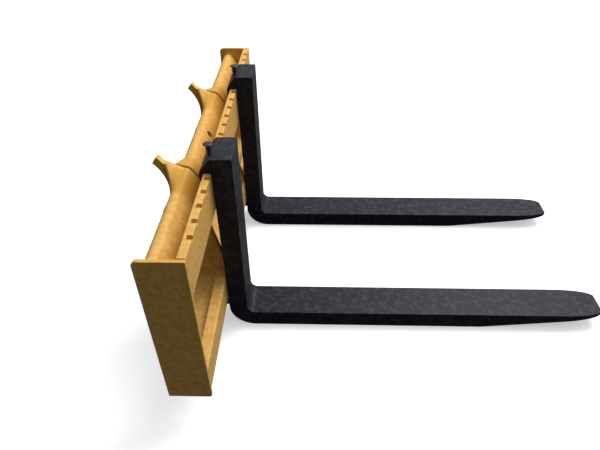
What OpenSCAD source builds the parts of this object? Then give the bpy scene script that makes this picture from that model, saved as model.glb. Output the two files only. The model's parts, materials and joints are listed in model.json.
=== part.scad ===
// Pallet fork attachment for a wheel loader: a welded carriage with two hook plates
// for the loader's coupler, and two forged forks that slide on it and latch in notches.
// x = 0 is the carriage's fork face before the last shift, y = 0 its middle and z = 0
// the surface that the fork blades rest on. The forks point along +x.

/* [Carriage] */
// Overall width of the carriage over its end plates
carriage_w = 1520; // [1460:10:1600]
// Thickness of an end plate
plate_t = 12.5; // [10:0.5:16]
// Height of an end plate
plate_h = 588; // [580:2:596]
// Depth of an end plate, front to back
plate_d = 140; // [136:1:150]
// Height of the end plates' lower edge over the floor
plate_z = 113; // [108:1:116]
// Cut-off corner at the top rear of an end plate
plate_chamfer = 11; // [4:1:16]

/* [Fork bars] */
// Thickness of both fork bars
bar_t = 39; // [36:1:42]
// Thickness of the tongue that a fork hook wraps
tongue_t = 24; // [22:1:25]
// Height of a tongue
tongue_h = 35; // [32:1:38]
// Height of the upper bar
upper_bar_h = 137; // [130:1:145]
// Top of the upper bar over the floor
upper_bar_top = 704; // [702:1:706]
// Height of the lower bar
lower_bar_h = 104; // [100:1:110]
// Top of the lower bar over the floor
lower_bar_top = 248; // [246:1:250]
// Radius along the upper bar's front top edge
bar_round = 5; // [2:1:8]

/* [Latch notches] */
// Number of notches along the upper bar
notch_count = 20; // [16:2:20]
// Distance from notch to notch
notch_pitch = 70; // [68:1:71]
// Width of a notch along the bar
notch_w = 18; // [16:1:20]
// Depth of a notch, down from the bar's top
notch_depth = 13; // [12:1:15]

/* [Forks] */
// Blade length from the shank's front face to the tip
blade_l = 1372; // [1070:1:1520]
// Width of a fork
fork_w = 143; // [140:1:150]
// Thickness of shank and blade at the heel
fork_t = 68; // [62:1:70]
// Top of the shank over the floor
fork_top = 754; // [750:1:760]
// Outer radius of the heel
heel_r = 96; // [90:1:110]
// Inner radius of the heel
heel_inner_r = 28; // [20:1:36]
// Thickness of the blade at its tip
tip_t = 16; // [12:1:20]
// Length of the taper under the blade
taper_l = 465; // [300:5:600]
// Width of the flat nose at the tip
nose_w = 63; // [50:1:80]
// Length of the rounded corners at the tip
nose_l = 155; // [120:5:200]

/* [Coupler hooks] */
// Distance from one hook plate to the other, centre to centre
hook_span = 576; // [560:2:590]
// Thickness of a hook plate
hook_t = 24; // [20:1:26]
// Radius of the saddle that seats on the coupler's cross tube
saddle_r = 137; // [125:1:145]
// Bore of a lock pin bush
lock_bore_d = 40.5; // [38:0.5:45]
// Length of a lock pin bush
lock_bush_l = 50; // [40:2:60]
// Diameter of the hole in the middle of the ridge plate
centre_hole_d = 28; // [20:1:34]

/* [Latch] */
// Travel of the latch plunger between parked and locked
latch_travel = 14; // [12:1:14]
// Radius of the plunger's tip
latch_tip_r = 6; // [5:0.5:7]
// Radius of the knob
knob_r = 15.5; // [12:0.5:16]

/* [Hidden] */
$fn = 64;
// Slots of the forks at rest, counted in notches from the carriage's middle
left_slot = -4.5;
right_slot = 4.5;
// The latch sits off the fork's centre line, and behind the fork face
latch_dy = -26;
latch_x = -8.5;
// Sliding gaps between fork and carriage
face_gap = 0.6;
seat_gap = 0.8;
plate_top = plate_z + plate_h;
plate_nose = 9;
half_in = carriage_w / 2 - plate_t;
upper_bar_z = upper_bar_top - upper_bar_h;
lower_bar_z = lower_bar_top - lower_bar_h;
notch_x = -16;
// Folded ridge plate behind the upper bar
ridge_t = 8;
ridge_r = 22;
ridge_x = -102;
ridge_z = 653;
ridge_slope = 55;
hole_x = -70;
// Box tube behind the lower bar
box_w = 94;
box_h = 75;
box_wall = 6;
box_round = 10;
// Hook plate: saddle, horn and foot
saddle_x = -297;
saddle_z = 606;
horn_up = 45;
horn_down = -44;
tip_x = -181;
tip_z = 724;
tip_front_x = -165;
tip_front_z = 703;
lock_x = -164;
lock_z = 196;
lock_lobe_r = 38;
lock_bush_r = 28;
hook_rear = lock_x - lock_lobe_r;
waist_z = 470;
foot_rise = 24;
rib_front = -1;
fold_steps = 10;
fold_tip = 7;
// Saddle cheeks: a long flared one on the left-hand side of each hook plate
cheek_l = 125;
cheek_steps = 10;
cheek_arc_x = -251.5;
cheek_arc_z = 633;
cheek_arc_r = 114;
cheek_from = -22;
cheek_to = 37;
cheek_top_x = -154;
cheek_top_z = 704;
cheek_brow_x = -136;
cheek_brow_z = 692;
cheek_low_z = 584;
cheek_edge = 1.5;
cheek_proud = 6;
cheek_swell_rear = 40;
cheek_swell_high = 52;
cheek_power = 1.9;
cheek_bar_gap = 2;
cheek_mid_angle = 135;
// and a short, straight one on its right-hand side
short_l = 60;
short_edge = 4;
short_swell_rear = 3.5;
short_swell_high = 27.5;
short_proud = 2;
flare_reach = 400;
// Fork hooks
hook_back = -38;
hook_inner = -25.6;
hook_lip_z = 673;
hook_chin_z = 707;
hook_brow_x = -27;
hook_brow_z = 723;
hook_lean = 1;
hook_lean_h = 12;
hook_cut = 4;
low_hook_h = 30;
low_lip_z = 172;
low_hook_gap = 2;
low_chin_h = 14;
low_chin_x = -24;
edge_cut = 3;
tip_cut = 4;
tip_fullness = 0.8;
// Latch parts
guide_r = 6.15;
guide_l = 5;
chamber_r = 8.3;
chamber_l = 24;
bush_l = 10;
rod_r = 6;
collar_r = 7.6;
collar_h = 2.5;
collar_gap = 0.3;
tip_clear = 1.5;
tip_bevel = 2;
press_gap = 0.1;
wire_r = 0.6;
wire_gap = 0.05;
wire_sides = 6;
spring_turns = 4;
turn_steps = 18;
stem_top = 784;
stem_bevel = 1;
knob_z = 758.5;
knob_neck_r = 8;
knob_neck_h = 21.5;
knob_lip_r = 1.5;
knob_flare = 2;
knob_crown = 0.6;
knob_h = 28.5;
cross_r = 1.5;
cross_z = 766;

shift_x = -(face_gap + fork_t + blade_l + hook_rear) / 2;

paint = "#dca548";
fork_black = "#26272b";
latch_black = "#1c1d20";
steel = "#9aa0a6";

function mix(a, b, k) = a + (b - a) * k;
function back(list) = [for (i = [len(list) - 1 : -1 : 0]) list[i]];
function slot_y(slot) = slot * notch_pitch;
function fork_y(slot) = slot_y(slot) - latch_dy;
function arc(cx, cz, r, a0, a1, n) =
    [for (i = [0 : n]) let (a = mix(a0, a1, i / n)) [cx + r * cos(a), cz + r * sin(a)]];

// Gives an x-z outline a width along y, centred on y
module slab(outline, y, w) {
    translate([0, y + w / 2, 0]) rotate([90, 0, 0]) linear_extrude(w) polygon(outline);
}

// Closes a row of rings, each with the same number of points, into one solid
module skin(rings) {
    m = len(rings[0]);
    last = len(rings) - 1;
    faces = concat([[for (i = [0 : m - 1]) i]],
        [[for (i = [m - 1 : -1 : 0]) last * m + i]],
        [for (j = [0 : last - 1], i = [0 : m - 1]) each [
            [j * m + i, (j + 1) * m + i, (j + 1) * m + (i + 1) % m],
            [j * m + i, (j + 1) * m + (i + 1) % m, j * m + (i + 1) % m]]]);
    polyhedron([for (ring = rings) each ring], faces, convexity = 8);
}

module placed() {
    translate([shift_x, 0, 0]) children();
}

// --- carriage ---

module end_plate(side) {
    placed() color(paint)
        slab(concat([[-plate_d, plate_z]],
            arc(-plate_nose, plate_z + plate_nose, plate_nose, 270, 360, 8), [[0, plate_top],
            [plate_chamfer - plate_d, plate_top], [-plate_d, plate_top - plate_chamfer]]),
            side * (carriage_w - plate_t) / 2, plate_t);
}

module upper_bar() {
    first = -(notch_count - 1) / 2;
    placed() color(paint) difference() {
        slab(concat([[-bar_t, upper_bar_z], [0, upper_bar_z]],
            arc(-bar_round, upper_bar_top - bar_round, bar_round, 0, 90, 10),
            [[-tongue_t, upper_bar_top], [-tongue_t, upper_bar_top - tongue_h],
            [-bar_t, upper_bar_top - tongue_h]]), 0, 2 * half_in);
        for (i = [0 : notch_count - 1])
            translate([notch_x, slot_y(first + i) - notch_w / 2, upper_bar_top - notch_depth])
                cube([bar_t, notch_w, notch_depth + 1]);
    }
}

module lower_bar() {
    step_z = lower_bar_z + tongue_h - edge_cut;
    placed() color(paint)
        slab([[-bar_t, step_z], [-tongue_t, step_z], [-tongue_t, lower_bar_z],
            [-edge_cut, lower_bar_z], [0, lower_bar_z + edge_cut],
            [0, lower_bar_top - edge_cut], [-edge_cut, lower_bar_top],
            [-bar_t, lower_bar_top]], 0, 2 * half_in);
}

// Line of the ridge from its rear leg over the fold and down the slope to x = end
function ridge_line(grow, low, end) =
    let (r = ridge_r + grow, a = 90 - ridge_slope)
    concat([[ridge_x - r, low]], arc(ridge_x, ridge_z, r, 180, a, fold_steps),
        [[end, ridge_z + r * sin(a) - (end - ridge_x - r * cos(a)) * tan(ridge_slope)]]);

module ridge_plate() {
    a = 90 - ridge_slope;
    top = ridge_line(0, upper_bar_z, hole_x);
    placed() color(paint) difference() {
        slab(concat(ridge_line(0, upper_bar_z, -bar_t),
            back(ridge_line(-ridge_t, upper_bar_z, -bar_t))), 0, 2 * half_in);
        translate([hole_x, 0, top[len(top) - 1][1]]) rotate([0, 90 - a, 0])
            cylinder(d = centre_hole_d, h = 3 * ridge_t, center = true);
    }
}

// Square-edged at the front, where it is welded to the bar, with rounded rear corners
module box_body(inset, l) {
    r = box_round - inset;
    rear = -bar_t - box_w + inset;
    low = lower_bar_z + inset;
    high = lower_bar_z + box_h - inset;
    slab(concat([[-bar_t - inset, low], [-bar_t - inset, high]],
        arc(rear + r, high - r, r, 90, 180, 8), arc(rear + r, low + r, r, 180, 270, 8)), 0, l);
}

module box_tube() {
    placed() color(paint) difference() {
        box_body(0, 2 * half_in);
        box_body(box_wall, 2 * half_in + 2);
    }
}

// --- coupler hooks ---

module hook_plate(side) {
    box_top = lower_bar_z + box_h;
    box_rear = -bar_t - box_w;
    outside = ridge_line(0, upper_bar_z, -bar_t);
    inside = ridge_line(-ridge_t, upper_bar_z, -bar_t);
    placed() color(paint) difference() {
        slab(concat([[tip_x, tip_z]],
            arc(saddle_x, saddle_z, saddle_r, horn_up, horn_down, 28),
            [[hook_rear, waist_z], [hook_rear, lock_z]],
            arc(lock_x, lock_z, lock_lobe_r, 190, 310, 12),
            [[box_rear, lower_bar_z + foot_rise], [box_rear, box_top], [-bar_t, box_top],
            [-bar_t, lower_bar_top], [rib_front, lower_bar_top]],
            [for (i = [fold_steps : -1 : 0]) inside[i]],
            [for (i = [0 : fold_tip]) outside[i]],
            [[tip_front_x, tip_front_z]]), side * hook_span / 2, hook_t);
        translate([lock_x, side * hook_span / 2, lock_z]) rotate([90, 0, 0])
            cylinder(r = lock_bush_r, h = hook_t + 2, center = true);
    }
}

// A cheek's section where it meets the hook plate: up the saddle's edge, over the top,
// down along the ridge's slope, and back on the ridge itself
function cheek_section() =
    let (on_ridge = ridge_line(0, cheek_low_z, -bar_t - cheek_bar_gap),
        proud = ridge_line(cheek_proud, cheek_low_z, -bar_t - cheek_bar_gap))
    concat(arc(cheek_arc_x, cheek_arc_z, cheek_arc_r, cheek_from, cheek_to, 8),
        [[cheek_top_x, cheek_top_z], [cheek_brow_x, cheek_brow_z]],
        [for (i = [fold_tip - 1 : len(proud) - 1]) proud[i]], back(on_ridge));

// Cuts a cheek down to a curve that runs out on the ridge, seen along one direction
module flare(angle, l, edge, rise, power, steps) {
    curve = [for (j = [0 : steps]) let (u = j / steps)
        [hook_t / 2 + u * l, ridge_r + edge + rise * pow(1 - u, power)]];
    ca = cos(angle);
    sa = sin(angle);
    multmatrix([[0, ca, sa, ridge_x], [1, 0, 0, 0], [0, sa, -ca, ridge_z], [0, 0, 0, 1]])
        linear_extrude(2 * flare_reach, center = true) polygon(concat(
            [[hook_t / 2 + l, -flare_reach], [hook_t / 2, -flare_reach]], curve));
}

module long_cheek() {
    intersection() {
        slab(cheek_section(), (hook_t + cheek_l) / 2, cheek_l);
        flare(180, cheek_l, cheek_edge, cheek_swell_rear, cheek_power, cheek_steps);
        flare(cheek_mid_angle, cheek_l, cheek_edge, cheek_swell_high, cheek_power, cheek_steps);
        flare(90 - ridge_slope, cheek_l, cheek_edge, cheek_proud, cheek_power, cheek_steps);
    }
}

module short_cheek() {
    intersection() {
        slab(cheek_section(), (hook_t + short_l) / 2, short_l);
        flare(180, short_l, short_edge, short_swell_rear, 1, 1);
        flare(cheek_mid_angle, short_l, short_edge, short_swell_high, 1, 1);
        flare(90, short_l, short_edge, short_swell_high, 1, 1);
        flare(90 - ridge_slope, short_l, short_edge, short_proud, 1, 1);
    }
}

// hand is -1 for the left-hand cheek of a hook plate and 1 for its right-hand one
module saddle_cheek(side, hand) {
    placed() color(paint) translate([0, side * hook_span / 2, 0]) {
        if (hand < 0) mirror([0, 1, 0]) long_cheek();
        else short_cheek();
    }
}

module lock_bush(side) {
    placed() color(steel) translate([lock_x, side * hook_span / 2, lock_z])
        rotate([90, 0, 0]) difference() {
            cylinder(r = lock_bush_r, h = lock_bush_l, center = true);
            cylinder(d = lock_bore_d, h = lock_bush_l + 2, center = true);
        }
}

// --- forks ---

// Side outline of shank, heel and blade
function fork_side() =
    let (x0 = face_gap, x1 = face_gap + fork_t, tip = x1 + blade_l, ri = heel_inner_r)
    concat([[x0, fork_top], [x1 - edge_cut, fork_top], [x1, fork_top - edge_cut]],
        arc(x1 + ri, fork_t + ri, ri, 180, 270, 8),
        [[tip - tip_cut, fork_t], [tip, fork_t - tip_cut], [tip, fork_t - tip_t + tip_cut],
        [tip - tip_cut, fork_t - tip_t], [tip - taper_l, 0]],
        arc(x0 + heel_r, heel_r, heel_r, 270, 180, 16));

// Top outline of the whole fork, with rounded corners at the tip
function fork_plan() =
    let (tip = face_gap + fork_t + blade_l, w = fork_w / 2, n = nose_w / 2, steps = 10,
        side = [for (i = [0 : steps]) let (a = 90 * i / steps)
            [tip - nose_l + nose_l * sin(a), n + (w - n) * pow(cos(a), tip_fullness)]])
    concat([[-1, w]], side, [for (p = back(side)) [p[0], -p[1]]], [[-1, -w]]);

module fork(slot) {
    placed() color(fork_black) translate([0, fork_y(slot), 0]) intersection() {
        slab(fork_side(), 0, fork_w);
        translate([0, 0, -1]) linear_extrude(fork_top + 2) polygon(fork_plan());
    }
}

module upper_hook(slot) {
    seat = upper_bar_top + seat_gap;
    placed() color(fork_black) translate([0, fork_y(slot), 0]) difference() {
        slab([[face_gap, seat], [hook_inner, seat], [hook_inner, hook_lip_z],
            [hook_back + hook_cut, hook_lip_z], [hook_back, hook_lip_z + hook_cut],
            [hook_back, hook_chin_z - hook_lean_h], [hook_back + hook_lean, hook_chin_z],
            [hook_brow_x, hook_brow_z], [0, fork_top], [face_gap, fork_top]], 0, fork_w);
        translate([latch_x, latch_dy, seat - 1]) cylinder(r = guide_r, h = guide_l + 2);
        translate([latch_x, latch_dy, seat + guide_l])
            cylinder(r = chamber_r, h = fork_top - seat);
    }
}

module lower_hook(slot) {
    under = lower_bar_z - seat_gap - low_hook_gap;
    placed() color(fork_black) translate([0, fork_y(slot), 0])
        slab([[face_gap, under], [hook_inner, under], [hook_inner, low_lip_z],
            [hook_back + hook_cut, low_lip_z], [hook_back, low_lip_z - hook_cut],
            [hook_back, under - low_hook_h + low_chin_h], [low_chin_x, under - low_hook_h],
            [face_gap, under - low_hook_h]], 0, fork_w);
}

// --- latch, drawn parked with its tip clear of the bar ---

module at_latch(slot) {
    placed() translate([latch_x, slot_y(slot), 0]) children();
}

chamber_z = upper_bar_top + seat_gap + guide_l;
bush_z = chamber_z + chamber_l;
collar_z = chamber_z + collar_gap + latch_travel;

module latch_bush(slot) {
    at_latch(slot) color(latch_black) translate([0, 0, bush_z]) difference() {
        cylinder(r = chamber_r - press_gap, h = bush_l);
        translate([0, 0, -1]) cylinder(r = guide_r, h = bush_l + 2);
    }
}

module latch_plunger(slot) {
    tip_z = upper_bar_top + tip_clear;
    at_latch(slot) color(latch_black) difference() {
        rotate_extrude() polygon([[0, tip_z], [latch_tip_r - tip_bevel, tip_z],
            [latch_tip_r, tip_z + tip_bevel], [latch_tip_r, collar_z], [collar_r, collar_z],
            [collar_r, collar_z + collar_h], [rod_r, collar_z + collar_h],
            [rod_r, stem_top - stem_bevel], [rod_r - stem_bevel, stem_top], [0, stem_top]]);
        translate([0, 0, cross_z]) rotate([90, 0, 0])
            cylinder(r = cross_r, h = 4 * rod_r, center = true);
    }
}

module latch_spring(slot) {
    r = (rod_r + chamber_r) / 2;
    z0 = collar_z + collar_h + wire_r + wire_gap;
    z1 = bush_z - wire_r - wire_gap;
    total = spring_turns * turn_steps;
    rings = [for (i = [0 : total])
        let (a = 360 * spring_turns * i / total, z = mix(z0, z1, i / total))
        [for (j = [0 : wire_sides - 1]) let (b = 360 * j / wire_sides, q = r + wire_r * cos(b))
            [q * cos(a), q * sin(a), z + wire_r * sin(b)]]];
    at_latch(slot) color(steel) skin(rings);
}

module latch_knob(slot) {
    at_latch(slot) color(latch_black) difference() {
        translate([0, 0, knob_z]) rotate_extrude() polygon(concat(
            [[0, 0], [knob_neck_r, 0], [knob_neck_r, knob_neck_h],
            [knob_r - knob_flare, knob_neck_h + knob_flare]],
            arc(knob_r - knob_lip_r, knob_neck_h + knob_flare + knob_lip_r, knob_lip_r, -60, 60, 5),
            [[knob_r / 2, knob_h - knob_crown], [0, knob_h]]));
        translate([0, 0, knob_z - 1]) cylinder(r = rod_r, h = stem_top - knob_z + 1);
        translate([0, 0, cross_z]) rotate([90, 0, 0])
            cylinder(r = cross_r, h = 4 * knob_r, center = true);
    }
}

module knob_pin(slot) {
    at_latch(slot) color(steel) translate([0, 0, cross_z])
        rotate([90, 0, 0]) cylinder(r = cross_r, h = 2 * knob_neck_r + 1, center = true);
}

end_plate(-1);  // end_plate_left
end_plate(1);  // end_plate_right
upper_bar();
lower_bar();
ridge_plate();
box_tube();
hook_plate(-1);  // hook_plate_left
hook_plate(1);  // hook_plate_right
saddle_cheek(-1, -1);  // saddle_cheek_left_outer
saddle_cheek(-1, 1);  // saddle_cheek_left_inner
saddle_cheek(1, -1);  // saddle_cheek_right_inner
saddle_cheek(1, 1);  // saddle_cheek_right_outer
lock_bush(-1);  // lock_bush_left
lock_bush(1);  // lock_bush_right
fork(left_slot);  // fork_left
upper_hook(left_slot);  // upper_hook_left
lower_hook(left_slot);  // lower_hook_left
latch_bush(left_slot);  // latch_bush_left
latch_plunger(left_slot);  // latch_plunger_left
latch_spring(left_slot);  // latch_spring_left
latch_knob(left_slot);  // latch_knob_left
knob_pin(left_slot);  // knob_pin_left
fork(right_slot);  // fork_right
upper_hook(right_slot);  // upper_hook_right
lower_hook(right_slot);  // lower_hook_right
latch_bush(right_slot);  // latch_bush_right
latch_plunger(right_slot);  // latch_plunger_right
latch_spring(right_slot);  // latch_spring_right
latch_knob(right_slot);  // latch_knob_right
knob_pin(right_slot);  // knob_pin_right
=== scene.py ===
"""Pallet fork attachment: softened steel pieces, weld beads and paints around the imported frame."""

import json
import math

import bmesh
import bpy
from mathutils import Matrix, Vector, noise


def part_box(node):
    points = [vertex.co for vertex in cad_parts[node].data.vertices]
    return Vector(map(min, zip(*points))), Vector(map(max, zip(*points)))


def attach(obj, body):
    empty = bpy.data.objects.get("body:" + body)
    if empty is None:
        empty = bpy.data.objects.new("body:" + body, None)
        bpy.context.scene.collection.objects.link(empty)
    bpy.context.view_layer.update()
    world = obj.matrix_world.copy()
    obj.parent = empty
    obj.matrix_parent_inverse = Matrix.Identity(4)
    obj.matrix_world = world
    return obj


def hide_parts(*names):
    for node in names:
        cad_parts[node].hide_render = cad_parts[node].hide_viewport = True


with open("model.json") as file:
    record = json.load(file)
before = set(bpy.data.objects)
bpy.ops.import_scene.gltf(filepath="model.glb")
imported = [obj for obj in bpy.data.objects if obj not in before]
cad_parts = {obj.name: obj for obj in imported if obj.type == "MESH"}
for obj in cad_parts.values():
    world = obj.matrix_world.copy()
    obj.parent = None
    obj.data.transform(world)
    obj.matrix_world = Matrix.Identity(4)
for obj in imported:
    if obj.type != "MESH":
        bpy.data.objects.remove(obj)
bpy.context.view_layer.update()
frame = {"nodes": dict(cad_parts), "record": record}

MM = 0.001
NODES = frame["nodes"]
BODIES = frame["record"]["behaviour"]["bodies"]
BODY_OF = {node: body for body, members in BODIES.items() for node in members}
SLOT_OF = {part["node"]: part["material_slot"] for part in frame["record"]["subparts"]}
SIDES = {"left": -1, "right": 1}


# ---------------------------------------------------------------- places

FACE_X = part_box("upper_bar")[1].x  # the carriage's fork face
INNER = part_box("upper_bar")[1].y / MM  # inner face of an end plate, in millimetres from the middle


def at(x, y, z):
    """A point given in millimetres from the fork face, the carriage's middle and the floor."""
    return Vector((FACE_X + x * MM, y * MM, z * MM))


def mix(a, b, share):
    return a + (b - a) * share


# ---------------------------------------------------------------- materials


class Shader:
    """One procedural material, built up from a few named steps."""

    def __init__(self, name, **fixed):
        self.material = bpy.data.materials.new(name)
        self.material.use_nodes = True
        self.tree = self.material.node_tree
        self.surface = next(n for n in self.tree.nodes if n.type == "BSDF_PRINCIPLED")
        for socket, value in fixed.items():
            self.surface.inputs[socket.replace("_", " ")].default_value = value
        self.place = self.add("ShaderNodeTexCoord").outputs["Object"]
        self.height = None

    def add(self, kind, **settings):
        node = self.tree.nodes.new(kind)
        for key, value in settings.items():
            setattr(node, key, value)
        return node

    def feed(self, value, socket):
        if isinstance(value, bpy.types.NodeSocket):
            self.tree.links.new(value, socket)
        else:
            socket.default_value = value

    def stretched(self, scale, turn=(0, 0, 0)):
        """Object coordinates, scaled differently along each axis."""
        node = self.add("ShaderNodeMapping")
        self.feed(self.place, node.inputs["Vector"])
        node.inputs["Scale"].default_value = scale
        node.inputs["Rotation"].default_value = turn
        return node.outputs["Vector"]

    def noise(self, scale, detail=3.0, rough=0.5, along=None):
        node = self.add("ShaderNodeTexNoise")
        self.feed(along or self.place, node.inputs["Vector"])
        node.inputs["Scale"].default_value = scale
        node.inputs["Detail"].default_value = detail
        node.inputs["Roughness"].default_value = rough
        return node.outputs["Fac"]

    def between(self, value, low, high, to_low=0.0, to_high=1.0):
        """Maps low..high to to_low..to_high, held at the ends."""
        node = self.add("ShaderNodeMapRange", interpolation_type="SMOOTHSTEP")
        self.feed(value, node.inputs["Value"])
        ends = (("From Min", low), ("From Max", high), ("To Min", to_low), ("To Max", to_high))
        for socket, number in ends:
            node.inputs[socket].default_value = number
        return node.outputs["Result"]

    def calc(self, operation, a, b):
        node = self.add("ShaderNodeMath", operation=operation)
        self.feed(a, node.inputs[0])
        self.feed(b, node.inputs[1])
        return node.outputs[0]

    def blend(self, share, a, b):
        node = self.add("ShaderNodeMix", data_type="RGBA")
        self.feed(share, node.inputs["Factor"])
        self.feed(a, node.inputs["A"])
        self.feed(b, node.inputs["B"])
        return node.outputs["Result"]

    def rim(self):
        """1 on the rounded edges of a softened piece, 0 elsewhere."""
        node = self.add("ShaderNodeAttribute", attribute_name="rim")
        return node.outputs["Fac"]

    def relief(self, value, depth):
        """Adds a bump of that depth in metres on top of the ones before."""
        node = self.add("ShaderNodeBump")
        node.inputs["Strength"].default_value = 1.0
        node.inputs["Distance"].default_value = depth
        self.feed(value, node.inputs["Height"])
        if self.height is not None:
            self.feed(self.height, node.inputs["Normal"])
        self.height = node.outputs["Normal"]

    def done(self, colour, roughness):
        self.feed(colour, self.surface.inputs["Base Color"])
        self.feed(roughness, self.surface.inputs["Roughness"])
        if self.height is not None:
            self.feed(self.height, self.surface.inputs["Normal"])
        return self.material


def rgb(red, green, blue):
    return (red, green, blue, 1.0)


def carriage_paint():
    """Ochre enamel over rolled plate: soft sag, fine orange peel and thin, paler edges."""
    s = Shader("carriage_paint", Coat_Weight=0.04, Coat_Roughness=0.25, Specular_IOR_Level=0.12)
    cloud = s.noise(4.0, 3.0, 0.5)
    speck = s.noise(260.0, 2.0, 0.6)
    colour = s.blend(s.between(cloud, 0.3, 0.7), rgb(0.615, 0.322, 0.054), rgb(0.640, 0.340, 0.060))
    colour = s.blend(s.between(speck, 0.62, 0.80, 0.0, 0.12), colour, rgb(0.50, 0.25, 0.04))
    thin = s.calc("MULTIPLY", s.rim(), s.between(s.noise(55.0, 3.0), 0.4, 0.6, 0.2, 0.7))
    colour = s.blend(thin, colour, rgb(0.76, 0.48, 0.16))
    scuffs = s.noise(30.0, 5.0, 0.7, s.stretched((9.0, 1.0, 3.0), (0.3, 0.2, 0.7)))
    scuffed = s.between(scuffs, 0.72, 0.82, 0.0, 0.15)
    colour = s.blend(scuffed, colour, rgb(0.72, 0.46, 0.18))
    dust = s.between(s.noise(17.0, 5.0, 0.6), 0.55, 0.85, 0.0, 0.04)
    colour = s.blend(dust, colour, rgb(0.62, 0.46, 0.26))
    rough = s.calc("ADD", s.between(cloud, 0.3, 0.7, 0.36, 0.44), s.calc("MULTIPLY", scuffed, 0.3))
    s.relief(s.noise(7.0, 1.0), 0.0002)
    s.relief(s.noise(420.0, 1.0, 0.4), 0.00001)
    return s.done(colour, rough)


def fork_paint():
    """Black enamel over a forging: faint scale, long streaks, rubbed edges."""
    s = Shader("fork_paint", Coat_Weight=0.0, Specular_IOR_Level=0.14)
    scale_spots = s.noise(22.0, 4.0, 0.55)
    streaks = s.noise(24.0, 4.0, 0.6, s.stretched((0.12, 1.6, 1.6)))
    dark, pale = rgb(0.0128, 0.0143, 0.0230), rgb(0.0136, 0.0152, 0.0242)
    colour = s.blend(s.between(scale_spots, 0.3, 0.75), dark, pale)
    colour = s.blend(s.between(streaks, 0.6, 0.8, 0.0, 0.25), colour, rgb(0.017, 0.019, 0.029))
    thin = s.calc("MULTIPLY", s.rim(), s.between(s.noise(48.0, 4.0, 0.6), 0.46, 0.64, 0.05, 0.6))
    colour = s.blend(thin, colour, rgb(0.050, 0.051, 0.058))
    dust = s.between(s.noise(11.0, 5.0, 0.6), 0.6, 0.85, 0.0, 0.012)
    colour = s.blend(dust, colour, rgb(0.10, 0.10, 0.10))
    rough = s.between(scale_spots, 0.3, 0.75, 0.45, 0.475)
    s.relief(s.noise(6.0, 1.0), 0.0002)
    s.relief(s.noise(70.0, 3.0, 0.5), 0.00002)
    s.relief(s.noise(520.0, 2.0, 0.5), 0.00001)
    return s.done(colour, rough)


def latch_black():
    """Dipped black paint on small turned parts, rubbed where hands hold them."""
    s = Shader("latch_black", Coat_Weight=0.1, Coat_Roughness=0.3, Specular_IOR_Level=0.5)
    worn = s.noise(160.0, 4.0, 0.6)
    colour = s.blend(s.between(worn, 0.4, 0.7), rgb(0.008, 0.009, 0.013), rgb(0.022, 0.025, 0.034))
    thin = s.calc("MULTIPLY", s.rim(), s.between(worn, 0.45, 0.6, 0.1, 0.8))
    colour = s.blend(thin, colour, rgb(0.16, 0.16, 0.17))
    s.relief(s.noise(380.0, 3.0, 0.55), 0.00012)
    return s.done(colour, s.between(worn, 0.3, 0.7, 0.3, 0.5))


def turned_steel(name, base, bright, rings):
    """Bare machined steel with fine tool rings along the part's own axis."""
    s = Shader(name, Metallic=1.0, Anisotropic=0.4)
    stain = s.noise(60.0, 5.0, 0.6)
    tool = s.noise(900.0, 2.0, 0.5, s.stretched(rings))
    colour = s.blend(s.between(stain, 0.4, 0.7), base, bright)
    colour = s.blend(s.between(s.noise(25.0, 4.0), 0.6, 0.8, 0.0, 0.4), colour, rgb(0.24, 0.17, 0.11))
    s.relief(tool, 0.00003)
    s.relief(s.noise(240.0, 3.0), 0.00004)
    return s.done(colour, s.between(stain, 0.3, 0.7, 0.24, 0.42))


ALONG_Y = (0.2, 1.0, 0.2)
ALONG_Z = (0.2, 0.2, 1.0)
BUSH_STEEL = rgb(0.42, 0.41, 0.40), rgb(0.58, 0.57, 0.55)
SPRING_STEEL = rgb(0.38, 0.38, 0.40), rgb(0.62, 0.62, 0.63)
MATERIALS = {
    "carriage_paint": carriage_paint(),
    "fork_paint": fork_paint(),
    "latch_black": latch_black(),
    "bush_steel": turned_steel("bush_steel", *BUSH_STEEL, ALONG_Y),
    "spring_steel": turned_steel("spring_steel", *SPRING_STEEL, ALONG_Z),
}


# ---------------------------------------------------------------- mesh helpers


def add_piece(name, mesh, body, slot, *replaced):
    """Puts a mesh in the scene as a piece that rides on a body and takes a slot's material."""
    piece = bpy.data.objects.new(name, mesh)
    bpy.context.scene.collection.objects.link(piece)
    mesh.materials.clear()
    mesh.materials.append(MATERIALS[slot])
    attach(piece, body)
    if replaced:
        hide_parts(*replaced)
    return piece


def level_normals(piece):
    """Keeps flat faces flat and rounds only the narrow ones between them."""
    piece.data.shade_smooth()
    level = piece.modifiers.new("level", "WEIGHTED_NORMAL")
    level.mode = "FACE_AREA"
    level.weight = 90
    level.keep_sharp = True


def soften(node, width, segments=3, sharp=30.0):
    """Replaces a CAD node by the same shape with its sharp edges rounded to width, in millimetres."""
    shape = bmesh.new()
    shape.from_mesh(NODES[node].data)
    bmesh.ops.remove_doubles(shape, verts=shape.verts, dist=2e-6)
    bmesh.ops.dissolve_limit(shape, angle_limit=math.radians(0.4), verts=shape.verts, edges=shape.edges)
    hard = [e for e in shape.edges if e.is_manifold and e.calc_face_angle(0) > math.radians(sharp)]
    made = bmesh.ops.bevel(
        shape,
        geom=hard,
        offset=width * MM,
        offset_type="OFFSET",
        segments=segments,
        profile=0.5,
        affect="EDGES",
        clamp_overlap=True,
    )
    rounded = set(made["faces"])
    rim = shape.verts.layers.float.new("rim")
    for face in rounded:
        for vertex in face.verts:
            vertex[rim] = 1.0
    bmesh.ops.recalc_face_normals(shape, faces=shape.faces)
    mesh = bpy.data.meshes.new(node + "_skin")
    shape.to_mesh(mesh)
    shape.free()
    piece = add_piece(node + "_skin", mesh, BODY_OF[node], SLOT_OF[node], node)
    level_normals(piece)
    return piece


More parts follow.
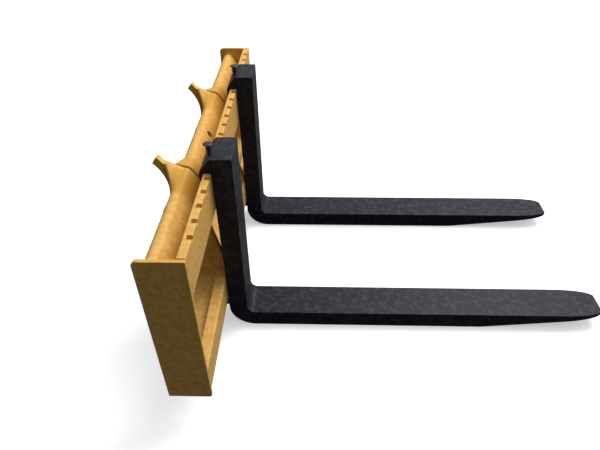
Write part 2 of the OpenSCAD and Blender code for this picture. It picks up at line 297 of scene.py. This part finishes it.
def closed_mesh(name, rings, wrap=False):
    """A solid through rings of points. Its ends are capped, unless it closes on itself."""
    count = len(rings[0])
    vertices = [point for ring in rings for point in ring]
    faces = []
    steps = len(rings) if wrap else len(rings) - 1
    for step in range(steps):
        here = step * count
        there = (step + 1) % len(rings) * count
        for i in range(count):
            j = (i + 1) % count
            faces.append((here + i, here + j, there + j, there + i))
    if not wrap:
        faces.append(tuple(range(count - 1, -1, -1)))
        faces.append(tuple(range((len(rings) - 1) * count, len(rings) * count)))
    mesh = bpy.data.meshes.new(name)
    mesh.from_pydata(vertices, [], faces)
    shape = bmesh.new()
    shape.from_mesh(mesh)
    bmesh.ops.recalc_face_normals(shape, faces=shape.faces)
    shape.to_mesh(mesh)
    shape.free()
    return mesh


def joined(name, meshes):
    """One mesh from several."""
    shape = bmesh.new()
    for mesh in meshes:
        shape.from_mesh(mesh)
        bpy.data.meshes.remove(mesh)
    mesh = bpy.data.meshes.new(name)
    shape.to_mesh(mesh)
    shape.free()
    mesh.shade_smooth()
    return mesh


RIPPLE = 4.2 * MM  # length of one ripple of a weld bead
STEP = 1.4 * MM


def resample(path, closed):
    """Points along a path, one weld step apart, each with the length before it."""
    corners = list(path) + ([path[0]] if closed else [])
    points = []
    run = 0.0
    for a, b in zip(corners, corners[1:]):
        length = (b - a).length
        count = max(1, round(length / STEP))
        for i in range(count):
            points.append((a.lerp(b, i / count), run + length * i / count))
        run += length
    if not closed:
        points.append((corners[-1], run))
    return points


def bead(name, path, first, second, leg, closed=False):
    """A fillet weld along a path, between two faces that run off along first and second.

    first and second are directions, or functions that give one at a point.
    """
    points = resample([Vector(p) for p in path], closed)
    total = points[-1][1]
    rings = []
    for index, (point, run) in enumerate(points):
        a = (first(point) if callable(first) else Vector(first)).normalized()
        b = (second(point) if callable(second) else Vector(second)).normalized()
        phase = run / RIPPLE % 1.0
        size = leg * MM * (0.93 + 0.12 * (1 - (2 * phase - 1) ** 2))
        size *= 1 + 0.10 * noise.noise(point * 60.0)
        if not closed:
            end = min(run, total - run) / (leg * MM)
            size *= 0.35 + 0.65 * math.sqrt(min(1.0, end))
        root = point - (a + b) * 0.0004
        ring = [root]
        for k in range(6):
            angle = math.radians(90 * k / 5)
            bulge = size * (0.80 + 0.20 * abs(math.cos(2 * angle)))
            ring.append(root + a * bulge * math.cos(angle) + b * bulge * math.sin(angle))
        rings.append(ring)
    return closed_mesh(name, rings, closed)


def crease(mesh, degrees):
    """Keeps the edges that turn by more than that crisp, and smooths the rest."""
    mesh.shade_smooth()
    shape = bmesh.new()
    shape.from_mesh(mesh)
    for edge in shape.edges:
        edge.smooth = not edge.is_manifold or edge.calc_face_angle(0) < math.radians(degrees)
    shape.to_mesh(mesh)
    shape.free()


def turned(name, centre, profile, sides=56):
    """A solid turned about an upright axis, from (radius, height) pairs in metres."""
    rings = []
    for radius, height in profile:
        ring = []
        for i in range(sides):
            turn = math.tau * i / sides
            x = centre.x + radius * math.cos(turn)
            ring.append(Vector((x, centre.y + radius * math.sin(turn), height)))
        rings.append(ring)
    return closed_mesh(name, rings)


# ---------------------------------------------------------------- carriage pieces

SOFTENED = {
    "end_plate_left": 1.6,
    "end_plate_right": 1.6,
    "upper_bar": 1.2,
    "lower_bar": 2.0,
    "ridge_plate": 1.5,
    "box_tube": 1.5,
    "hook_plate_left": 2.0,
    "hook_plate_right": 2.0,
    "lock_bush_left": 1.2,
    "lock_bush_right": 1.2,
    "fork_left": 3.0,
    "fork_right": 3.0,
    "upper_hook_left": 2.0,
    "upper_hook_right": 2.0,
    "lower_hook_left": 2.5,
    "lower_hook_right": 2.5,
    "latch_bush_left": 0.5,
    "latch_bush_right": 0.5,
    "latch_plunger_left": 0.4,
    "latch_plunger_right": 0.4,
    "knob_pin_left": 0.3,
    "knob_pin_right": 0.3,
}
for softened_node, edge_width in SOFTENED.items():
    soften(softened_node, edge_width)
for side in SIDES:
    spring = NODES[f"latch_spring_{side}"]
    spring.data.materials.clear()
    spring.data.materials.append(MATERIALS["spring_steel"])
    spring.data.shade_smooth()


# ---------------------------------------------------------------- saddle cheeks

# The carriage's measures, in millimetres from the fork face, the middle and the floor
BAR_T = 39.0
HOOK_Y = 288.0
HOOK_T = 24.0
RIDGE_X, RIDGE_Z, RIDGE_R = -102.0, 653.0, 22.0
SLOPE = math.radians(55)
FOLD_END = math.pi / 2 - SLOPE  # where the fold runs into the slope
FOLD_TOP = 1.6  # where a cheek's brow meets the fold, in radians
BAR_GAP = 2  # from the cheeks' and the slope's foot to the upper bar

# The cheeks' outline at the hook plate: up the saddle's edge, over the crest to the brow
SADDLE_EDGE_X, SADDLE_EDGE_Z, SADDLE_EDGE_R = -251.5, 633, 114
SADDLE_FROM, SADDLE_TO = -22, 37
CREST_START = (-160.5, 701.6)
CREST = (-154, 704)
BROW = (-136, 692)
PROUD = 6
CHEEK_LOW = 588
SINK = 0.4  # how deep a cheek starts in its hook plate
CRISP = 26  # degrees

LONG_L = 125.0
LONG_POWER = 1.9
LONG_STEPS = 44
RUN_OUT = 0.015  # how far below the ridge the long cheek's foot ends, as a share of its swell
SHORT_L = 60.0
SHORT_STEPS = 12
SHORT_EDGE = 4.0
SHORT_REAR = RIDGE_X - RIDGE_R - 7.5
SHORT_TOP = 689.0


def fold(angle, grow=0.0):
    """A point of the ridge's fold, seen from its end, with the ridge grown outwards."""
    radius = RIDGE_R + grow
    return RIDGE_X + radius * math.cos(angle), RIDGE_Z + radius * math.sin(angle)


def down_slope(share, grow=0.0):
    """A point of the ridge's slope, from the fold (0) to the upper bar (1)."""
    x, z = fold(FOLD_END, grow)
    run = share * (-BAR_T - BAR_GAP - x)
    return x + run, z - run * math.tan(SLOPE)


def off_ridge(x, z):
    """The direction straight off the ridge's surface at a point of it, seen from its end."""
    if z < RIDGE_Z and x < RIDGE_X:
        return -1.0, 0.0
    angle = max(FOLD_END, math.atan2(z - RIDGE_Z, x - RIDGE_X))
    return math.cos(angle), math.sin(angle)


def row(a, b, count):
    """Points from a up to but without b."""
    return [(mix(a[0], b[0], i / count), mix(a[1], b[1], i / count)) for i in range(count)]


def cheek_lines():
    """The cheek's outline at the hook plate and, point for point, the ridge that it runs out on."""
    high, low = [], []
    for i in range(14):
        angle = math.radians(mix(SADDLE_FROM, SADDLE_TO, i / 14))
        x = SADDLE_EDGE_X + SADDLE_EDGE_R * math.cos(angle)
        high.append((x, SADDLE_EDGE_Z + SADDLE_EDGE_R * math.sin(angle)))
        low.append((RIDGE_X - RIDGE_R, mix(CHEEK_LOW, RIDGE_Z, i / 14)))
    high += row(CREST_START, CREST, 2) + row(CREST, BROW, 4) + row(BROW, fold(FOLD_TOP, PROUD), 6)
    low += [fold(mix(math.pi, FOLD_TOP, i / 12)) for i in range(12)]
    for line, grow in ((high, PROUD), (low, 0.0)):
        line += [fold(mix(FOLD_TOP, FOLD_END, i / 8), grow) for i in range(8)]
        line += [down_slope(i / 8, grow) for i in range(9)]
    return high, low


def inner_line(low):
    """The cheek's hidden back, just inside the ridge's plate."""
    return [(mix(x, RIDGE_X, 0.12), mix(z, RIDGE_Z - 40, 0.05)) for x, z in reversed(low)]


def add_cheek(node, high, low, swells, places):
    """Blends the outline from low to high by each swell, at the place along y that goes with it."""
    inside = inner_line(cheek_lines()[1])
    rings = []
    for swell, y in zip(swells, places):
        outside = [(mix(a[0], b[0], swell), mix(a[1], b[1], swell)) for a, b in zip(low, high)]
        rings.append([at(x, y, z) for x, z in outside + inside])
    mesh = closed_mesh(node + "_skin", rings)
    crease(mesh, CRISP)
    add_piece(node + "_skin", mesh, "carriage", "carriage_paint", node)


def add_long_cheek(side, node):
    """A smooth flare from the hook plate's left-hand shoulder down to the ridge."""
    high, low = cheek_lines()
    shares = [j / LONG_STEPS for j in range(LONG_STEPS + 1)]
    swells = [(1 + RUN_OUT) * (1 - u) ** LONG_POWER - RUN_OUT for u in shares]
    places = [side * HOOK_Y - (HOOK_T / 2 - SINK + u * LONG_L) for u in shares]
    add_cheek(node, high, low, swells, places)


def add_short_cheek(side, node):
    """A short, straight cheek on the hook plate's right-hand side, with a plate's edge at its foot."""
    high, low = cheek_lines()
    high = [(max(x, SHORT_REAR), min(z, SHORT_TOP)) for x, z in high]
    foot = []
    for x, z in low:
        off_x, off_z = off_ridge(x, z)
        foot.append((x + SHORT_EDGE * off_x, z + SHORT_EDGE * off_z))
    shares = [j / SHORT_STEPS for j in range(SHORT_STEPS + 1)]
    swells = [1 - u for u in shares]
    places = [side * HOOK_Y + HOOK_T / 2 - SINK + u * SHORT_L for u in shares]
    add_cheek(node, high, foot, swells, places)


add_long_cheek(-1, "saddle_cheek_left_outer")
add_short_cheek(-1, "saddle_cheek_left_inner")
add_long_cheek(1, "saddle_cheek_right_inner")
add_short_cheek(1, "saddle_cheek_right_outer")


# ---------------------------------------------------------------- knobs


NECK_R = 8.0 * MM
FLARE_LOW, FLARE_HIGH = 9.5, 5.2  # under the knob's top, in millimetres
LIP_MIDDLE, LIP_R = 3.7, 1.6
CAP_EDGE = 2.1


def add_knob(node):
    """A mushroom knob: long neck, hollow flare, domed cap."""
    low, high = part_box(node)
    wide = (high.x - low.x) / 2
    centre = (low + high) / 2
    cut = 0.6 * MM
    profile = [(NECK_R - cut, low.z), (NECK_R, low.z + cut), (NECK_R, high.z - FLARE_LOW * MM)]
    for i in range(1, 9):
        turn = math.radians(90 * i / 8)
        radius = mix(NECK_R, wide - MM, 1 - math.cos(turn))
        profile.append((radius, high.z - mix(FLARE_LOW, FLARE_HIGH, math.sin(turn)) * MM))
    for i in range(7):
        turn = math.radians(mix(-70, 70, i / 6))
        radius = wide - LIP_R * MM * (1 - math.cos(turn))
        profile.append((radius, high.z - (LIP_MIDDLE - LIP_R * math.sin(turn)) * MM))
    for i in range(1, 9):
        share = i / 8
        radius = mix(wide - 1.2 * MM, 0.4 * MM, share)
        profile.append((radius, high.z - mix(CAP_EDGE, 0.0, share ** 0.6) * MM))
    mesh = turned(node + "_skin", centre, profile)
    crease(mesh, 50)
    add_piece(node + "_skin", mesh, BODY_OF[node], SLOT_OF[node], node)


for side in SIDES:
    add_knob(f"latch_knob_{side}")


# ---------------------------------------------------------------- welds

UP = (0, 0, 1)
DOWN = (0, 0, -1)
BACK = (-1, 0, 0)
UPPER_FOOT = 567
LOWER_TOP = 248
BOX_TOP = 219
BOX_REAR = -133
LOCK_X, LOCK_Z, LOCK_R = -164, 196, 28


def weld(name, body, slot, *meshes):
    add_piece(name, joined(name, meshes), body, slot)


def weld_end_plates():
    """Fillets where bars, tube and ridge meet the end plates."""
    for name, side in SIDES.items():
        y = side * INNER
        inwards = (0, -side, 0)

        def outwards(point):
            off_x, off_z = off_ridge((point.x - FACE_X) / MM, point.z / MM)
            return Vector((off_x, 0, off_z))

        outline = [(RIDGE_X - RIDGE_R, UPPER_FOOT + 2)]
        outline += [fold(mix(math.pi, FOLD_END, i / 14)) for i in range(15)] + [down_slope(1)]
        runs = [
            bead("run", [at(x, y, z) for x, z in outline], inwards, outwards, 5),
            bead("run", [at(-38, y, UPPER_FOOT), at(-2, y, UPPER_FOOT)], inwards, DOWN, 6),
            bead("run", [at(-38, y, LOWER_TOP), at(-4, y, LOWER_TOP)], inwards, UP, 6),
            bead("run", [at(-122, y, BOX_TOP), at(-40, y, BOX_TOP)], inwards, UP, 6),
            bead("run", [at(BOX_REAR, y, 156), at(BOX_REAR, y, 208)], inwards, BACK, 6),
            bead("run", [at(-BAR_T, y, 250), at(-BAR_T, y, 220)], inwards, BACK, 5),
        ]
        weld(f"weld_end_{name}", "carriage", "carriage_paint", *runs)


def weld_hook_feet():
    """Both sides of each hook plate's foot, and the ring around each lock bush."""
    for name, side in SIDES.items():
        runs = []
        for hand in (-1, 1):
            y = side * HOOK_Y + hand * HOOK_T / 2
            outwards = (0, hand, 0)
            runs.append(bead("run", [at(-3, y, LOWER_TOP), at(-38, y, LOWER_TOP)], outwards, UP, 7))
            runs.append(bead("run", [at(-BAR_T, y, 247), at(-BAR_T, y, 220)], outwards, BACK, 6))
            runs.append(bead("run", [at(-41, y, BOX_TOP), at(-132, y, BOX_TOP)], outwards, UP, 7))
            middle = at(LOCK_X, y, LOCK_Z)
            ring = []
            for i in range(48):
                turn = math.tau * i / 48
                ring.append(at(LOCK_X + LOCK_R * math.cos(turn), y, LOCK_Z + LOCK_R * math.sin(turn)))
            runs.append(bead("run", ring, lambda p, m=middle: p - m, outwards, 6, True))
        weld(f"weld_hook_{name}", "carriage", "carriage_paint", *runs)


def weld_ridge_foot():
    """The ridge's slope along the back of the upper bar."""
    foot = down_slope(1)
    up_slope = (-math.cos(SLOPE), 0, math.sin(SLOPE))
    spans = ((-INNER + 3, -HOOK_Y - 14), (-HOOK_Y + 14, HOOK_Y - 14), (HOOK_Y + 14, INNER - 3))
    height = foot[1] - 2
    runs = []
    for a, b in spans:
        runs.append(bead("run", [at(-BAR_T, a, height), at(-BAR_T, b, height)], UP, up_slope, 7))
    weld("weld_ridge", "carriage", "carriage_paint", *runs)


def weld_forks():
    """Seams of both hooks on the back of each shank."""
    for name in SIDES:
        low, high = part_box(f"upper_hook_{name}")
        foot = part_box(f"lower_hook_{name}")[0]
        runs = []
        for y, hand in ((low.y, -1), (high.y, 1)):
            seam = FACE_X + 0.6 * MM
            lean = ((-1, hand, 0), (1, hand, 0))
            y -= hand * 1.2 * MM
            upper_seam = [Vector((seam, y, 0.708)), Vector((seam, y, high.z - 0.002))]
            lower_seam = [Vector((seam, y, foot.z + 0.003)), Vector((seam, y, 0.139))]
            runs.append(bead("run", upper_seam, *lean, 5))
            runs.append(bead("run", lower_seam, *lean, 5))
        underside = [Vector((seam, low.y + 0.004, foot.z)), Vector((seam, high.y - 0.004, foot.z))]
        runs.append(bead("run", underside, BACK, DOWN, 5))
        weld(f"weld_fork_{name}", f"fork_{name}_body", "fork_paint", *runs)


weld_end_plates()
weld_hook_feet()
weld_ridge_foot()
weld_forks()


# ---------------------------------------------------------------- stage, light and camera

CAMERA_LENS = 30.3
CAMERA_PLACE = Vector((FACE_X + 0.3178, -1.6722, 1.558))
CAMERA_TURN = math.radians(-1.874)
CAMERA_DOWN = math.radians(38.759)
CAMERA_ROLL = math.radians(-0.63)


def add_camera():
    ahead = Vector((
        math.sin(CAMERA_TURN) * math.cos(CAMERA_DOWN),
        math.cos(CAMERA_TURN) * math.cos(CAMERA_DOWN),
        -math.sin(CAMERA_DOWN),
    ))
    right = Vector((math.cos(CAMERA_TURN), -math.sin(CAMERA_TURN), 0))
    up = right.cross(ahead)
    rolled_right = right * math.cos(CAMERA_ROLL) + up * math.sin(CAMERA_ROLL)
    rolled_up = up * math.cos(CAMERA_ROLL) - right * math.sin(CAMERA_ROLL)
    axes = Matrix((rolled_right, rolled_up, -ahead)).transposed()
    data = bpy.data.cameras.new("camera")
    data.lens = CAMERA_LENS
    data.sensor_width = 36.0
    camera = bpy.data.objects.new("camera", data)
    camera.matrix_world = Matrix.Translation(CAMERA_PLACE) @ axes.to_4x4()
    bpy.context.scene.collection.objects.link(camera)
    bpy.context.scene.camera = camera


def add_floor():
    """A wide pale floor, with the faintest mottling."""
    s = Shader("floor", Specular_IOR_Level=0.2)
    tone = s.between(s.noise(1.3, 4.0), 0.3, 0.7)
    s.surface.inputs["Emission Strength"].default_value = 0.45
    s.surface.inputs["Emission Color"].default_value = rgb(1.0, 1.0, 1.0)
    material = s.done(s.blend(tone, rgb(0.88, 0.88, 0.88), rgb(0.90, 0.90, 0.90)), 0.8)
    half = 14.0
    mesh = bpy.data.meshes.new("floor")
    corners = [(-half, -half, 0), (half, -half, 0), (half, half, 0), (-half, half, 0)]
    mesh.from_pydata(corners, [], [(0, 1, 2, 3)])
    mesh.materials.append(material)
    floor = bpy.data.objects.new("floor", mesh)
    bpy.context.scene.collection.objects.link(floor)
    floor.visible_diffuse = False
    floor.visible_glossy = False


def add_world():
    """Open sky, bright overhead and ahead of the forks, dim on the near side and below."""
    world = bpy.data.worlds.new("world")
    world.use_nodes = True
    bpy.context.scene.world = world
    tree = world.node_tree
    background = next(n for n in tree.nodes if n.type == "BACKGROUND")
    place = tree.nodes.new("ShaderNodeTexCoord")
    parts = tree.nodes.new("ShaderNodeSeparateXYZ")
    tree.links.new(place.outputs["Generated"], parts.inputs[0])

    def share(axis, low, high, to_low, to_high):
        node = tree.nodes.new("ShaderNodeMapRange")
        node.interpolation_type = "SMOOTHSTEP"
        tree.links.new(parts.outputs[axis], node.inputs["Value"])
        ends = (("From Min", low), ("From Max", high), ("To Min", to_low), ("To Max", to_high))
        for socket, number in ends:
            node.inputs[socket].default_value = number
        return node.outputs["Result"]

    def times(a, b):
        node = tree.nodes.new("ShaderNodeMath")
        node.operation = "MULTIPLY"
        tree.links.new(a, node.inputs[0])
        tree.links.new(b, node.inputs[1])
        return node.outputs[0]

    up = share("Z", -0.08, 0.75, 0.16, 1.0)
    away = share("Y", -0.9, 0.5, 0.22, 1.0)
    ahead = share("X", -0.7, 0.9, 0.75, 1.35)
    level = times(times(up, away), ahead)
    tree.links.new(level, background.inputs["Strength"])
    background.inputs["Color"].default_value = (0.94, 0.97, 1.0, 1.0)


def add_key():
    data = bpy.data.lights.new("key", "AREA")
    data.shape = "DISK"
    data.size = 3.0
    data.energy = 150.0
    data.color = (1.0, 0.97, 0.93)
    key = bpy.data.objects.new("key", data)
    key.location = (1.4, 1.5, 3.6)
    key.rotation_euler = (Vector((-0.4, 0, 0.4)) - key.location).to_track_quat("-Z", "Y").to_euler()
    bpy.context.scene.collection.objects.link(key)


add_camera()
add_floor()
add_world()
add_key()
bpy.context.scene.view_settings.view_transform = "Standard"
